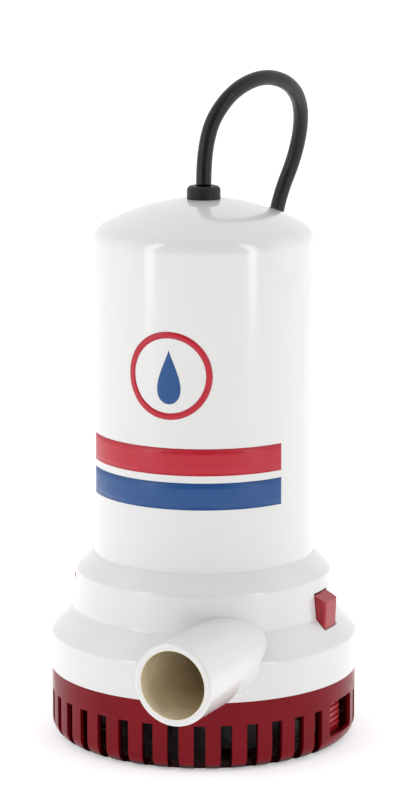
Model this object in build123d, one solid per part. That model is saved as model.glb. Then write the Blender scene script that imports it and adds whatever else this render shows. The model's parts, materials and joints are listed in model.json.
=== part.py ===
from build123d import *
from math import cos, pi, radians, sin, tan
import os

# Submersible bilge pump: a white motor housing and volute body on a red clip-on strainer.
# Millimetres, +Z up. The origin is the centre of the face that rests on the bilge floor, the
# discharge spigot points along -Y and the two strainer latches lie on +X and -X.

# ---- clearances ----
running_fit = 0.05          # radial, between a turning or sliding piece and what carries it
moving_gap = 0.3            # between other pieces that pass each other
seat_gap = 0.2              # between fixed pieces that drop into one another

# ---- flange and shoulder of the volute body ----
flange_overhang = 15.75     # flange beyond the barrel
flange_bottom = 25.4
flange_depth = 13.2
shoulder_foot_overhang = 7.65
shoulder_rise = 9.1         # from the flange's top edge to the shoulder's foot
shoulder_top_overhang = 6.35
shoulder_drop = 6.6         # from the barrel's foot to the shoulder's top edge
shell_wall = 2.5

# ---- motor housing ----
barrel_foot_radius = 39.75
barrel_draft = 0.55         # how much slimmer the barrel is at its top
dome_radius = 74.0
dome_rise = 13.3
dome_edge_radius = 6.0
socket_depth = 8.4          # barrel inside the volute body
socket_step = 2.5           # ledge that the barrel stands on, above the bulkhead
ring_section = 0.7          # section radius of the sealing ring
ring_rise = 2.7             # above the ledge

# ---- volute and discharge spigot ----
port_offset = 26.2          # spigot axis from the pump axis
port_drop = 0.4             # spigot below the flange's underside
port_length = 22.5          # mouth of the spigot beyond the flange
port_radius = 14.5          # takes a 28.6 mm (1-1/8 in) hose
port_wall = 2.45
port_lip = 0.9
port_root_relief = 0.25     # slightly slimmer behind the hose's seat
volute_start_radius = 30.0
volute_wall = 2.3
volute_margin = 0.4         # chamber beyond the spigot's bore, above, below and outside it
cutwater_angle = 57.0
bulkhead_rise = 5.05        # top of the bulkhead above the chamber's roof
bulkhead_thickness = 2.5    # web between the volute and the dry space above it

# ---- strainer ----
strainer_inset = 0.3        # inside the flange's edge
strainer_corner = 6.0
strainer_wall = 2.6
strainer_floor = 2.6
spigot_height = 3.0         # rim that locates the strainer inside the flange
slot_width = 4.1
slot_top = 17.0
slot_pitch = 9.8            # degrees
slots_each_side = 16
slot_reach = 3.0            # cut beyond the wall's inner face
window_width = 18.4
window_bottom = 5.8
window_top = 18.3
window_corner = 2.0
mount_circle = 76.0         # pitch circle of the four fixing holes
mount_hole_radius = 2.6
mount_pad_radius = 6.0
mount_pad_height = 1.6

# ---- latch arms ----
latch_pivot_overhang = 1.9  # pivot outside the shoulder's foot
latch_pivot_z = 4.8
latch_pin_radius = 1.5
latch_pin_half = 10.2
latch_plate_width = 14.0
latch_plate_thickness = 2.8
latch_plate_top = 22.0
latch_stem_width = 10.0
latch_stem_thickness = 2.6
latch_stem_overhang = 0.8   # stem's outer face outside the shoulder's foot
latch_nose_overhang = 3.0
latch_drop = 5.1            # top of the latch below the shoulder's top edge
latch_ledge_margin = 0.5    # flat ledge beyond the nose
latch_soft_edge = 0.9
latch_travel = 5.6          # degrees, inward
grip_ribs = 5
grip_rib_pitch = 2.1
grip_rib_height = 1.0
grip_rib_depth = 0.7
ear_thickness = 1.9

# ---- pump end ----
plate_thickness = 2.4
eye_radius = 13.0
eye_lip_height = 1.4
eye_lip_wall = 1.6
boss_radius = 3.8
boss_standoff = 3.0         # screw centre outside the chamber
boss_angles = (50, 130, 200, 258)
impeller_radius = 26.0
impeller_clearance = 1.6    # vane edge to intake plate
impeller_disc = 2.0
impeller_seal_gap = 1.5
hub_radius = 6.2
vane_count = 6
vane_thickness = 1.8
screw_head_height = 1.7

# ---- motor ----
shaft_radius = 3.0
shaft_rise = 6.5            # beyond the can
can_radius = 27.0
can_wall = 1.6
can_height = 93.0
can_boss_radius = 8.0
can_boss_depth = 3.0
bearing_radius = 6.0
bearing_length = 5.0
magnet_thickness = 4.6
magnet_arc = 124.0
magnet_rise = 15.0          # above the can's floor
magnet_drop = 24.0          # below the can's top
air_gap = 0.8
core_recess = 7.0           # core inside the magnets' ends
tooth_count = 10
core_slot_width = 4.2
core_slot_mouth = 1.6
core_slot_floor = 9.6
winding_overhang = 6.0
commutator_radius = 8.5
commutator_depth = 22.0     # foot of the commutator below the can's top
commutator_length = 14.0
riser_radius = 9.6
brush_width = 4.8
brush_height = 6.0
brush_length = 8.5
brush_rise = 9.8            # brush above the commutator's foot
holder_wall = 0.6
holder_inset = 2.9          # holder's end inside the can's bore
spring_radius = 1.7
spring_wire = 0.35
spring_turns = 5
card_thickness = 1.6
card_hole_radius = 10.6
end_bell_flange = 1.6
end_bell_spigot = 6.9
end_bell_boss_rise = 5.0
cushion_height = 8.0
cushion_lobes = 6
cushion_notch = 0.465       # notches' radius over the ring's width

# ---- seal ----
seal_radius = 7.5
seal_length = 4.4
seal_boss_radius = 10.0
seal_boss_depth = 3.65      # below the chamber's roof

# ---- control board ----
board_radius = 30.0
board_thickness = 1.6
standoff_length = 14.4
board_room = 16.0           # from the board to the top of the barrel
standoff_radius = 2.6
standoff_circle = 22.0
standoff_angles = (20, 140, 260)
lead_radius = 0.8
relay_length = 19.0
relay_width = 15.0
relay_height = 10.5
capacitor_radius = 5.0
capacitor_height = 12.0
chip_length = 10.0
chip_width = 6.4
chip_thickness = 3.0
chip_leg_pitch = 2.54
chip_leg_width = 0.6
choke_radius = 4.2
choke_section = 2.0
supply_lead_ends = ((-14, 4, 12), (12, 0, 12), (4, -22, 8))     # x, y and drop above the board

# ---- cord ----
cord_radius = 2.75
gland_wall = 3.25           # collar round the cord
gland_rise = 4.4            # collar above the dome's apex
gland_neck_wall = 1.85
gland_flange_wall = 4.25
inner_cord_length = 12.3    # below the dome's apex
coil_radius = 30.0          # mid-turn
coil_height = 4 * cord_radius
coil_width = 4 * cord_radius
coil_centre = (-49.0, 101.0)
tail_angle = 26.0           # where the cut end leaves the coil, degrees
tail_length = 14.0
bare_lead_radius = 0.85
bare_lead_length = 24.0
bare_lead_spread = 9.0      # degrees between the stripped leads

# ---- derived sizes: widths ----
flange_radius = barrel_foot_radius + flange_overhang
shoulder_foot_radius = barrel_foot_radius + shoulder_foot_overhang
shoulder_top_radius = barrel_foot_radius + shoulder_top_overhang
barrel_top_radius = barrel_foot_radius - barrel_draft
flange_inner_radius = flange_radius - shell_wall
shoulder_inner_radius = shoulder_top_radius - shell_wall
socket_radius = barrel_foot_radius + running_fit
dry_bore_radius = barrel_foot_radius - shell_wall
port_bore_radius = port_radius - port_wall
port_root_radius = port_radius - port_root_relief
port_root_end = flange_radius
port_reach = flange_radius + port_length
volute_edge = port_offset + port_bore_radius + volute_margin
volute_growth = (volute_edge - volute_start_radius) / 2.5
strainer_radius = flange_radius - strainer_inset
slot_inner_radius = strainer_radius - strainer_wall - slot_reach
can_inner_radius = can_radius - can_wall
magnet_inner_radius = can_inner_radius - magnet_thickness
core_radius = magnet_inner_radius - air_gap
brush_inner = commutator_radius + running_fit
brush_outer = brush_inner + brush_length
holder_outer_end = can_inner_radius - holder_inset
gland_radius = cord_radius + gland_wall
gland_neck_radius = cord_radius + gland_neck_wall
gland_flange_radius = cord_radius + gland_flange_wall

# ---- derived sizes: heights ----
flange_top = flange_bottom + flange_depth
shoulder_foot = flange_top + shoulder_rise
flange_slope = (shoulder_foot - flange_top) / (flange_radius - shoulder_foot_radius)
port_height = flange_bottom + port_radius - port_drop
chamber_floor = port_height - port_bore_radius - volute_margin
chamber_roof = port_height + port_bore_radius + volute_margin
bulkhead_top = chamber_roof + bulkhead_rise
socket_floor = bulkhead_top + socket_step
ring_height = socket_floor + ring_rise
barrel_foot = socket_floor + socket_depth
shoulder_top = barrel_foot - shoulder_drop
plate_bottom = chamber_floor - plate_thickness
seal_boss_bottom = chamber_roof - seal_boss_depth
seal_bottom = seal_boss_bottom + 0.3
seal_top = seal_bottom + seal_length
impeller_disc_top = seal_boss_bottom - impeller_seal_gap
shaft_bottom = chamber_floor + impeller_clearance + 1.4
can_bottom = bulkhead_top
can_top = can_bottom + can_height
shaft_top = can_top + shaft_rise
magnet_bottom = can_bottom + magnet_rise
magnet_length = can_height - magnet_rise - magnet_drop
core_length = magnet_length - 2 * core_recess
core_bottom = magnet_bottom + core_recess
core_top = core_bottom + core_length
lower_bearing_bottom = can_bottom - can_boss_depth + 1.2
upper_bearing_bottom = can_top - 2.0
commutator_bottom = can_top - commutator_depth
brush_centre = commutator_bottom + brush_rise
end_bell_bottom = can_top - end_bell_spigot
end_bell_boss_top = can_top + end_bell_boss_rise
card_bottom = end_bell_bottom - card_thickness
holder_top = card_bottom
board_height = can_top + end_bell_flange + standoff_length
board_top = board_height + board_thickness
barrel_top = board_height + board_room
dome_apex = barrel_top + dome_rise
dome_centre = dome_apex - dome_radius
inner_cord_bottom = dome_apex - inner_cord_length

# ---- derived sizes: latches ----
latch_pivot_x = shoulder_foot_radius + latch_pivot_overhang
latch_stem_outer = shoulder_foot_radius + latch_stem_overhang
latch_stem_inner = latch_stem_outer - latch_stem_thickness
latch_nose = shoulder_foot_radius + latch_nose_overhang
latch_top = shoulder_top - latch_drop
latch_ledge = flange_top + (flange_radius - latch_nose - latch_ledge_margin) * flange_slope
latch_pocket_top = latch_top + 2 * moving_gap
latch_pocket_inner = (latch_stem_inner - moving_gap
                      - (latch_top - latch_pivot_z) * sin(radians(latch_travel)))

# The cord's route from the gland, over the loop and down behind the pump to its coil.
cord_route = [
    (0, 0, dome_apex + gland_rise),
    (-2, 4, 216),
    (3, 13, 231),
    (9, 29, 237),
    (13, 46, 233),
    (11, 61, 222),
    (6, 67, 205),
    (0, 63, 187),
    (-4, 65, 165),
    (-6, 68, 140),
    (-9, 67, 114),
    (-11, 69, 88),
    (-10, 67, 64),
    (-12, 71, 43),
    (-12, 80, 25),
    (-13, 95, coil_height + cord_radius + 2.25),
    (-19, 110, coil_height + cord_radius - 0.4),
]

os.makedirs("parts", exist_ok=True)


def save(name, shape):
    """Write one piece, or a group of like pieces, as its own file."""
    export_step(shape, f"parts/{name}.step")


def disc(radius, bottom, top, x=0, y=0):
    """An upright cylinder between two heights."""
    height = top - bottom
    return Pos(x, y, bottom + height / 2) * Cylinder(radius, height)


def tube(outer, inner, bottom, top, x=0, y=0):
    """An upright ring between two heights."""
    return disc(outer, bottom, top, x, y) - disc(inner, bottom - 1, top + 1, x, y)


def block(x0, x1, y0, y1, z0, z1):
    """A box between two corners."""
    return Pos((x0 + x1) / 2, (y0 + y1) / 2, (z0 + z1) / 2) * Box(x1 - x0, y1 - y0, z1 - z0)


def turned(points):
    """A solid of revolution about Z from (radius, height) corners."""
    outline = Polyline(*[(r, z) for r, z in points], close=True)
    return revolve(Plane.XZ * make_face(outline), Axis.Z)


def around(shape, angles):
    """Copies of a shape turned about Z."""
    return [Rot(0, 0, angle) * shape for angle in angles]


def on_circle(radius, angle):
    """A point on a circle about Z."""
    return radius * cos(radians(angle)), radius * sin(radians(angle))


def corner_radii(route):
    """The arc at each inner point of a route: 0.45 of its shorter run over tan(half turn)."""
    points = [Vector(*p) for p in route]
    radii = []
    for before, here, after in zip(points, points[1:], points[2:]):
        turn = radians((here - before).get_angle(after - here))
        shorter = min((here - before).length, (after - here).length)
        radii.append(0.45 * shorter / tan(turn / 2))
    return radii


def wire(route, radius, bends=None):
    """A round wire along straight runs joined by tangent arcs."""
    if len(route) == 2:
        path = Line(*route)
    else:
        path = FilletPolyline(*route, radius=bends or corner_radii(route))
    start = Plane(origin=path @ 0, z_dir=path % 0)
    return sweep(start * Circle(radius), path=path), path


def spiral(grow=0.0):
    """The volute outline, widening clockwise from the cutwater to the discharge."""
    step = volute_growth
    first = CenterArc((-step / 2, step / 2), volute_start_radius, -cutwater_angle,
                      cutwater_angle - 180)
    second = CenterArc((step / 2, step / 2), volute_start_radius + step, 180, -90)
    third = CenterArc((step / 2, -step / 2), volute_start_radius + 2 * step, 90, -90)
    throat = Line(third @ 1, third @ 1 - Vector(0, volute_start_radius / 2.5))
    cutwater = Line(throat @ 1, first @ 0)
    face = make_face([first, second, third, throat, cutwater])
    return offset(face, amount=grow) if grow else face


def raised(face, bottom, top):
    """A flat outline made solid between two heights."""
    return Pos(0, 0, bottom) * extrude(face, top - bottom)


def spigot(radius, start, end):
    """A cylinder on the discharge axis between two distances from the pump axis."""
    length = end - start
    axis_point = (port_offset, -start - length / 2, port_height)
    return Pos(*axis_point) * Rot(90, 0, 0) * Cylinder(radius, length)


def boss_places():
    """The intake plate's four screw centres, just outside the widening chamber."""
    places = []
    for angle in boss_angles:
        quarters = (-90 - angle) % 360 / 90
        chamber = volute_start_radius + volute_growth * quarters
        places.append(on_circle(chamber + boss_standoff, angle))
    return places


def bosses(radius, bottom, top):
    """Cylinders at the four screw places of the intake plate."""
    return [disc(radius, bottom, top, x, y) for x, y in boss_places()]


# ---- housing ----
def motor_housing():
    """The domed barrel that covers the motor and plugs into the volute body."""
    def shell(inset):
        centre_height = dome_centre
        radius = dome_radius - inset
        top = barrel_top_radius - inset
        foot = barrel_foot_radius - inset
        edge_height = centre_height + (radius ** 2 - top ** 2) ** 0.5
        middle = on_circle(radius, 90 - 14)
        walls = Polyline((0, socket_floor), (foot, socket_floor), (foot, barrel_foot),
                         (top, edge_height))
        crown = ThreePointArc((top, edge_height), (middle[0], centre_height + middle[1]),
                              (0, centre_height + radius))
        face = make_face([walls, crown, Line((0, centre_height + radius), (0, socket_floor))])
        edge = face.vertices().sort_by_distance((top, edge_height))[0]
        face = fillet(edge, dome_edge_radius - inset)
        return revolve(Plane.XZ * face, Axis.Z)
    body = shell(0) - shell(shell_wall)
    body -= disc(dry_bore_radius, socket_floor - 1, barrel_foot)
    body -= disc(gland_neck_radius, dome_apex - 9, dome_apex + 1)
    groove = tube(barrel_foot_radius + 1, socket_radius - 2 * ring_section,
                  ring_height - 1.3 * ring_section, ring_height + 1.3 * ring_section)
    return body - groove


def volute_body():
    """Flange, shoulder, volute and discharge spigot in one moulding."""
    outside = turned([(0, flange_bottom), (flange_radius, flange_bottom),
                      (flange_radius, flange_top), (shoulder_foot_radius, shoulder_foot),
                      (shoulder_top_radius, shoulder_top), (barrel_foot_radius, barrel_foot),
                      (0, barrel_foot)])
    soft_edges = outside.edges().filter_by(GeomType.CIRCLE)
    soft_edges = [e for e in soft_edges if flange_top - 0.1 < e.center().Z < barrel_foot - 0.1]
    outside = fillet(soft_edges, 1.2)
    web_bottom = bulkhead_top - bulkhead_thickness
    under = turned([(0, flange_bottom - 1), (flange_inner_radius, flange_bottom - 1),
                    (flange_inner_radius, flange_top - 1),
                    (shoulder_foot_radius - shell_wall, shoulder_foot - 1),
                    (shoulder_inner_radius, shoulder_top - shell_wall),
                    (socket_radius, shoulder_top - shell_wall),
                    (socket_radius, web_bottom), (0, web_bottom)])
    casing = raised(spiral(volute_wall), chamber_floor, bulkhead_top)
    under -= casing
    for boss in bosses(boss_radius, chamber_floor, bulkhead_top):
        under -= boss
    under -= spigot(port_root_radius, 8, port_reach)
    body = outside - under
    body += spigot(port_root_radius, volute_start_radius, port_root_end)
    nozzle = spigot(port_radius, port_root_end - 1, port_reach)
    body += fillet(nozzle.edges().sort_by(Axis.Y)[0], port_lip)
    body += disc(seal_boss_radius, seal_boss_bottom, chamber_roof)
    chamber = raised(spiral(), chamber_floor - 0.01, chamber_roof)
    chamber -= disc(seal_boss_radius, seal_boss_bottom, chamber_roof + 1)
    body -= chamber
    body -= spigot(port_bore_radius, volute_start_radius / 2, port_reach + 1)
    body -= disc(dry_bore_radius, bulkhead_top, socket_floor + 1)
    body -= disc(socket_radius, socket_floor, barrel_foot + 1)
    body -= disc(can_boss_radius + seat_gap, bulkhead_top - can_boss_depth - seat_gap,
                 bulkhead_top + 1)
    body -= disc(seal_radius, seal_boss_bottom - 1, seal_top)
    body -= disc(shaft_radius + 1, seal_top - 1, bulkhead_top)
    body -= raised(spiral(volute_wall + seat_gap), flange_bottom - 1, chamber_floor)
    for seat in bosses(boss_radius + seat_gap, flange_bottom - 1, chamber_floor):
        body -= seat
    for hole in bosses(1.4, chamber_floor - 1, chamber_floor + 11):
        body -= hole
    for x, y in motor_screw_places():
        body -= disc(1.5, chamber_roof - 1, bulkhead_top + 1, x, y)
    half = latch_stem_width / 2 + moving_gap
    outer = latch_stem_outer + moving_gap
    slot = block(latch_pocket_inner, outer, -half, half, flange_bottom - 1, latch_pocket_top)
    relief = block(latch_pocket_inner, flange_radius, -half, half, latch_ledge, latch_pocket_top)
    for cut in around(slot, (0, 180)) + around(relief, (0, 180)):
        body -= cut
    return body


def housing_oring():
    """The ring that seals the housing in its socket."""
    return Pos(0, 0, ring_height) * Torus(socket_radius - ring_section, ring_section)


# ---- strainer ----
def strainer_base():
    """The slotted red basket with its fixing holes and latch ears."""
    def cup(inset, floor, top):
        radius = strainer_radius - inset
        bend = strainer_corner - inset
        wall = Polyline((radius, floor + bend), (radius, top), (0, top), (0, floor),
                        (radius - bend, floor))
        corner = CenterArc((radius - bend, floor + bend), bend, -90, 90)
        return revolve(Plane.XZ * make_face([wall, corner]), Axis.Z)
    body = cup(0, 0, flange_bottom) - cup(strainer_wall, strainer_floor, flange_bottom + 1)
    rim = flange_inner_radius - seat_gap
    body += tube(rim, rim - 2.2, flange_bottom - 3, flange_bottom + spigot_height)
    reach = latch_pin_half + moving_gap
    body -= spigot(port_radius + seat_gap, 0, port_reach)
    for side in (1, -1):
        body -= Pos(side * rim, 0, flange_bottom + 2) * Box(12, 2 * reach, 12)
        body += side_wall(side, reach)
    slot = block(slot_inner_radius, strainer_radius + 1, -slot_width / 2, slot_width / 2,
                 -1, slot_top)
    first = 90 - slot_pitch * (slots_each_side - 1) / 2
    for side in (-90, 90):
        turns = [side - 90 + first + slot_pitch * n for n in range(slots_each_side)]
        for cut in around(slot, turns):
            body -= cut
    window = Rectangle(window_width, window_top - window_bottom)
    window = fillet(window.vertices(), window_corner)
    opening = Plane.YZ * Pos(0, (window_top + window_bottom) / 2) * window
    for side in (0, 180):
        body -= Rot(0, 0, side) * Pos(slot_inner_radius, 0, 0) * extrude(opening, 9)
        for ear in ears():
            body += Rot(0, 0, side) * ear
    for x, y in mount_places():
        body += disc(mount_pad_radius, strainer_floor, strainer_floor + mount_pad_height, x, y)
        body -= disc(mount_hole_radius, -1, strainer_floor + mount_pad_height + 1, x, y)
    return body


def side_wall(side, reach):
    """The strainer's wall behind a latch, which the locating rim leaves clear."""
    wall = tube(strainer_radius, strainer_radius - strainer_wall, window_top + 1, flange_bottom)
    return wall & block(min(0, side * 60), max(0, side * 60), -reach - 2, reach + 2, 0, 60)


def ears():
    """The two lugs that carry one latch's pivot."""
    inner = latch_plate_width / 2 + moving_gap
    outer = inner + ear_thickness
    for y0, y1 in ((inner, outer), (-outer, -inner)):
        lug = block(latch_pivot_x - 2.6, latch_pivot_x + 2.2, y0, y1, strainer_floor - 0.5,
                    latch_pivot_z + 2.4)
        bore = Pos(latch_pivot_x, (y0 + y1) / 2, latch_pivot_z) * Rot(90, 0, 0)
        yield lug - bore * Cylinder(latch_pin_radius + running_fit, ear_thickness + 2)


def mount_places():
    """The centres of the fixing holes in the strainer's floor."""
    return [on_circle(mount_circle / 2, angle) for angle in (45, 135, 225, 315)]


def latch_arm(side):
    """A sprung arm with a grip below and a hook that holds the flange down."""
    half = latch_plate_width / 2
    plate_inner = latch_pivot_x - latch_plate_thickness / 2
    plate_outer = latch_pivot_x + latch_plate_thickness / 2
    stem_half = latch_stem_width / 2
    arm = block(plate_inner, plate_outer, -half, half, latch_pivot_z, latch_plate_top)
    pin = Rot(90, 0, 0) * Cylinder(latch_pin_radius, 2 * (half + moving_gap + ear_thickness))
    arm += Pos(latch_pivot_x, 0, latch_pivot_z) * pin
    arm += block(latch_stem_inner, plate_outer, -half, half, latch_plate_top - 3, latch_plate_top)
    hook_bottom = latch_ledge + moving_gap
    outline = Polyline((latch_stem_inner, latch_plate_top - 1),
                       (latch_stem_outer, latch_plate_top - 1),
                       (latch_stem_outer, hook_bottom), (latch_nose, hook_bottom),
                       (latch_nose + 0.4, latch_top - 2.4), (latch_stem_inner + 0.6, latch_top),
                       (latch_stem_inner, latch_top - 0.6), close=True)
    hook = extrude(Plane.XZ * make_face(outline), stem_half, both=True)
    nose_edges = hook.edges().filter_by(
        lambda e: e.center().X > latch_nose and abs(e.center().Y) > stem_half - 0.1)
    hook = fillet(nose_edges, latch_soft_edge)
    arm += hook
    for n in range(grip_ribs):
        bottom = window_bottom + 1.2 + n * grip_rib_pitch
        arm += block(plate_outer - 0.1, plate_outer + grip_rib_depth, 1 - half, half - 1,
                     bottom, bottom + grip_rib_height)
    return arm if side > 0 else Rot(0, 0, 180) * arm


# ---- pump end ----
def intake_plate():
    """The plate under the impeller, with the eye that water enters by."""
    plate = raised(spiral(volute_wall), plate_bottom, chamber_floor)
    for boss in bosses(boss_radius, plate_bottom, chamber_floor):
        plate += boss
    plate += disc(eye_radius + eye_lip_wall, plate_bottom - eye_lip_height, plate_bottom)
    plate -= disc(eye_radius, 0, chamber_floor + 1)
    for hole in bosses(1.6, 0, chamber_floor + 1):
        plate -= hole
    return plate


def pan_screws(places, head_radius, shank_radius, seat, length, up=1):
    """Pan-head screws at a list of places, heads below the seat unless up is -1."""
    screws = []
    for x, y in places:
        head = disc(head_radius, seat - screw_head_height, seat, x, y)
        head = fillet(head.edges().sort_by(Axis.Z)[0], 0.7)
        cross = Pos(x, y, seat - screw_head_height) * (Box(0.7, 3, 1.4) + Box(3, 0.7, 1.4))
        screw = head - cross + disc(shank_radius, seat, seat + length, x, y)
        if up < 0:
            screw = Pos(x, y, seat) * Rot(180, 0, 0) * Pos(-x, -y, -seat) * screw
        screws.append(screw)
    return Compound(children=screws)


def intake_screws():
    """Four screws that hold the intake plate to the volute body."""
    return pan_screws(boss_places(), 3.0, 1.4, plate_bottom, plate_thickness + 10)


def impeller():
    """Hub, back disc and swept-back vanes, open towards the eye."""
    disc_bottom = impeller_disc_top - impeller_disc
    wheel = disc(impeller_radius, disc_bottom, impeller_disc_top)
    wheel += disc(hub_radius, shaft_bottom, impeller_disc_top)
    line = ThreePointArc((hub_radius - 0.5, 0), (16.5, 4.5), on_circle(impeller_radius - 0.8, 30))
    blade = raised(trace(line, vane_thickness), chamber_floor + impeller_clearance, disc_bottom)
    for vane in around(blade, [n * 360 / vane_count for n in range(vane_count)]):
        wheel += vane
    return wheel - disc(shaft_radius, 0, 60)


def impeller_screw():
    """The screw that keeps the impeller on the shaft."""
    return pan_screws([(0, 0)], 4.4, 1.25, shaft_bottom, 8)


def shaft_seal():
    """Lip seal that keeps water out of the motor."""
    seal = tube(seal_radius, shaft_radius + running_fit, seal_bottom, seal_top)
    return seal - tube(seal_radius - 1.6, shaft_radius + 1.2, seal_bottom - 1, seal_bottom + 2)


# ---- motor ----
def motor_shaft():
    """Stainless shaft, drilled at its lower end for the impeller screw."""
    return disc(shaft_radius, shaft_bottom, shaft_top) - disc(1.25, 0, shaft_bottom + 8)


def motor_screw_places():
    """The two screws that hold the motor's face to the bulkhead."""
    return [(0, 15.0), (0, -15.0)]


def motor_can():
    """Deep-drawn steel can, closed at the shaft end."""
    boss_bottom = can_bottom - can_boss_depth
    can = disc(can_radius, can_bottom, can_top)
    can = fillet(can.edges().sort_by(Axis.Z)[0], 1.4)
    can -= disc(can_inner_radius, can_bottom + can_wall, can_top + 1)
    can += disc(can_boss_radius, boss_bottom, lower_bearing_bottom + bearing_length)
    can -= disc(bearing_radius, lower_bearing_bottom, can_top)
    can -= disc(shaft_radius + 0.6, boss_bottom - 1, can_bottom)
    for x, y in motor_screw_places():
        can -= disc(1.5, boss_bottom, can_bottom + 4, x, y)
    return can


def bearing(bottom):
    """A sintered bronze bush."""
    return tube(bearing_radius, shaft_radius + running_fit, bottom, bottom + bearing_length)


def magnet(angle):
    """One ferrite arc against the can."""
    ring = tube(can_inner_radius, magnet_inner_radius, magnet_bottom,
                magnet_bottom + magnet_length)
    start = angle - magnet_arc / 2
    sector = make_face([Line((0, 0), on_circle(60, start)),
                        CenterArc((0, 0), 60, start, magnet_arc),
                        Line(on_circle(60, start + magnet_arc), (0, 0))])
    return ring & raised(sector, 0, 200)


def armature_core():
    """Laminated core with slots for the windings."""
    core = disc(core_radius, core_bottom, core_top)
    mouth_floor = core_radius - 2.2
    pocket = block(core_slot_floor, mouth_floor, -core_slot_width / 2, core_slot_width / 2,
                   core_bottom - 1, core_top + 1)
    mouth = block(mouth_floor - 1, core_radius + 1, -core_slot_mouth / 2, core_slot_mouth / 2,
                  core_bottom - 1, core_top + 1)
    turns = [n * 360 / tooth_count for n in range(tooth_count)]
    for cut in around(pocket + mouth, turns):
        core -= cut
    return core - disc(shaft_radius, 0, 200)


def armature_windings():
    """Copper bundles that fill the slots and turn over at both ends."""
    half = core_slot_width / 2 - 0.2
    outer = core_radius - 2.5
    inner = core_slot_floor + 0.3
    coils = tube(outer, inner - 2.4, core_bottom - winding_overhang, core_bottom)
    coils += tube(outer, inner - 2.4, core_top, core_top + winding_overhang)
    rims = coils.edges().filter_by(GeomType.CIRCLE)
    ends = [e for e in rims if not core_bottom - 1 < e.center().Z < core_top + 1]
    coils = fillet(ends, 1.8)
    bar = block(inner, outer, -half, half, core_bottom - 1, core_top + 1)
    for bundle in around(bar, [n * 360 / tooth_count for n in range(tooth_count)]):
        coils += bundle
    return coils


def commutator():
    """Copper segments with risers towards the windings."""
    top = commutator_bottom + commutator_length
    barrel = disc(commutator_radius, commutator_bottom, top)
    barrel += disc(riser_radius, commutator_bottom, commutator_bottom + 2)
    cut = block(commutator_radius - 1.2, riser_radius + 1, -0.25, 0.25, 0, 200)
    for slit in around(cut, [(n + 0.5) * 360 / tooth_count for n in range(tooth_count)]):
        barrel -= slit
    return barrel - disc(shaft_radius, 0, 200)


def end_bell():
    """Moulded cap that closes the can and carries the upper bush."""
    bell = disc(can_radius, can_top, can_top + end_bell_flange)
    bell += tube(can_inner_radius, can_inner_radius - 2.2, end_bell_bottom, can_top)
    bell += disc(can_boss_radius, upper_bearing_bottom - 1.2, end_bell_boss_top)
    bell -= disc(bearing_radius, upper_bearing_bottom - 2, upper_bearing_bottom + bearing_length)
    bell -= disc(shaft_radius + 0.6, 0, 200)
    for x, y in motor_lead_places():
        bell -= disc(lead_radius + seat_gap, can_top - 1, can_top + 3, x, y)
    return bell


def motor_lead_places():
    """Where the two motor leads come up past the brush card."""
    return [(0, 19.0), (0, -19.0)]


def brush_card():
    """Insulating card that carries both brush holders."""
    card = tube(can_inner_radius - seat_gap, card_hole_radius, card_bottom, end_bell_bottom)
    for x, y in motor_lead_places():
        card -= disc(lead_radius + seat_gap, 0, 200, x, y)
    return card


def brush_holder():
    """Brass box that a brush slides in, on the -Y side."""
    half = brush_width / 2 + 2 * running_fit
    bottom = brush_centre - brush_height / 2 - running_fit
    top = brush_centre + brush_height / 2 + running_fit
    inner_end = commutator_radius + 2.2
    box = block(-half - holder_wall, half + holder_wall, -holder_outer_end, -inner_end,
                bottom - holder_wall, holder_top)
    return box - block(-half, half, -holder_outer_end + holder_wall, 0, bottom, top)


def brush():
    """Carbon brush, hollowed to the commutator's curve, on the -Y side."""
    half = brush_height / 2
    body = block(-brush_width / 2, brush_width / 2, -brush_outer, 0,
                 brush_centre - half, brush_centre + half)
    return body - disc(brush_inner, 0, 200)


def brush_spring():
    """The coil spring that presses a brush inward, on the -Y side."""
    room = holder_outer_end - holder_wall - brush_outer
    height = room - 2 * spring_wire
    helix = Helix(pitch=height / spring_turns, height=height, radius=spring_radius)
    start = Plane(origin=helix @ 0, z_dir=helix % 0)
    coil = sweep(start * Circle(spring_wire), path=helix, is_frenet=True)
    return Pos(0, -brush_outer - spring_wire, brush_centre) * Rot(90, 0, 0) * coil


def motor_cushion():
    """Rubber ring that centres the motor in the barrel."""
    top = can_top - 4
    bottom = top - cushion_height
    taper = barrel_draft / (barrel_top - barrel_foot)
    outer = barrel_foot_radius - shell_wall - taper * (top - barrel_foot) - seat_gap
    ring = tube(outer, can_radius, bottom, top)
    pocket = Pos(outer, 0, top) * Cylinder(cushion_notch * (outer - can_radius), 3 * cushion_height)
    for cut in around(pocket, [n * 360 / cushion_lobes for n in range(cushion_lobes)]):
        ring -= cut
    return ring


# ---- control board ----
def standoff_places():
    """The centres of the three board pillars."""
    return [on_circle(standoff_circle, angle) for angle in standoff_angles]


def control_board():
    """Round circuit board above the motor."""
    board = disc(board_radius, board_height, board_top)
    for x, y in standoff_places():
        board -= disc(1.6, 0, 200, x, y)
    return board


def board_standoffs():
    """Three threaded pillars between the end bell and the board."""
    bottom = can_top + end_bell_flange
    pillars = [tube(standoff_radius, 1.5, bottom, board_height, x, y)
               for x, y in standoff_places()]
    return Compound(children=pillars)


def board_screws():
    """The screws on top of the board."""
    return pan_screws(standoff_places(), 2.8, 1.5, board_top, board_thickness + 5, up=-1)


def power_relay():
    """Sealed relay that switches the motor."""
    half = relay_length / 2
    case = block(-half, half, 3, 3 + relay_width, board_top, board_top + relay_height)
    return fillet(case.edges().filter_by(Axis.Z), 0.8)


def filter_capacitor():
    """Electrolytic capacitor with a crimped sleeve."""
    x, y = -13, -10
    can = disc(capacitor_radius, board_top, board_top + capacitor_height, x, y)
    crimp = tube(capacitor_radius + 1, capacitor_radius - 0.4, board_top + 2.2, board_top + 3, x, y)
    return can - crimp


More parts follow.
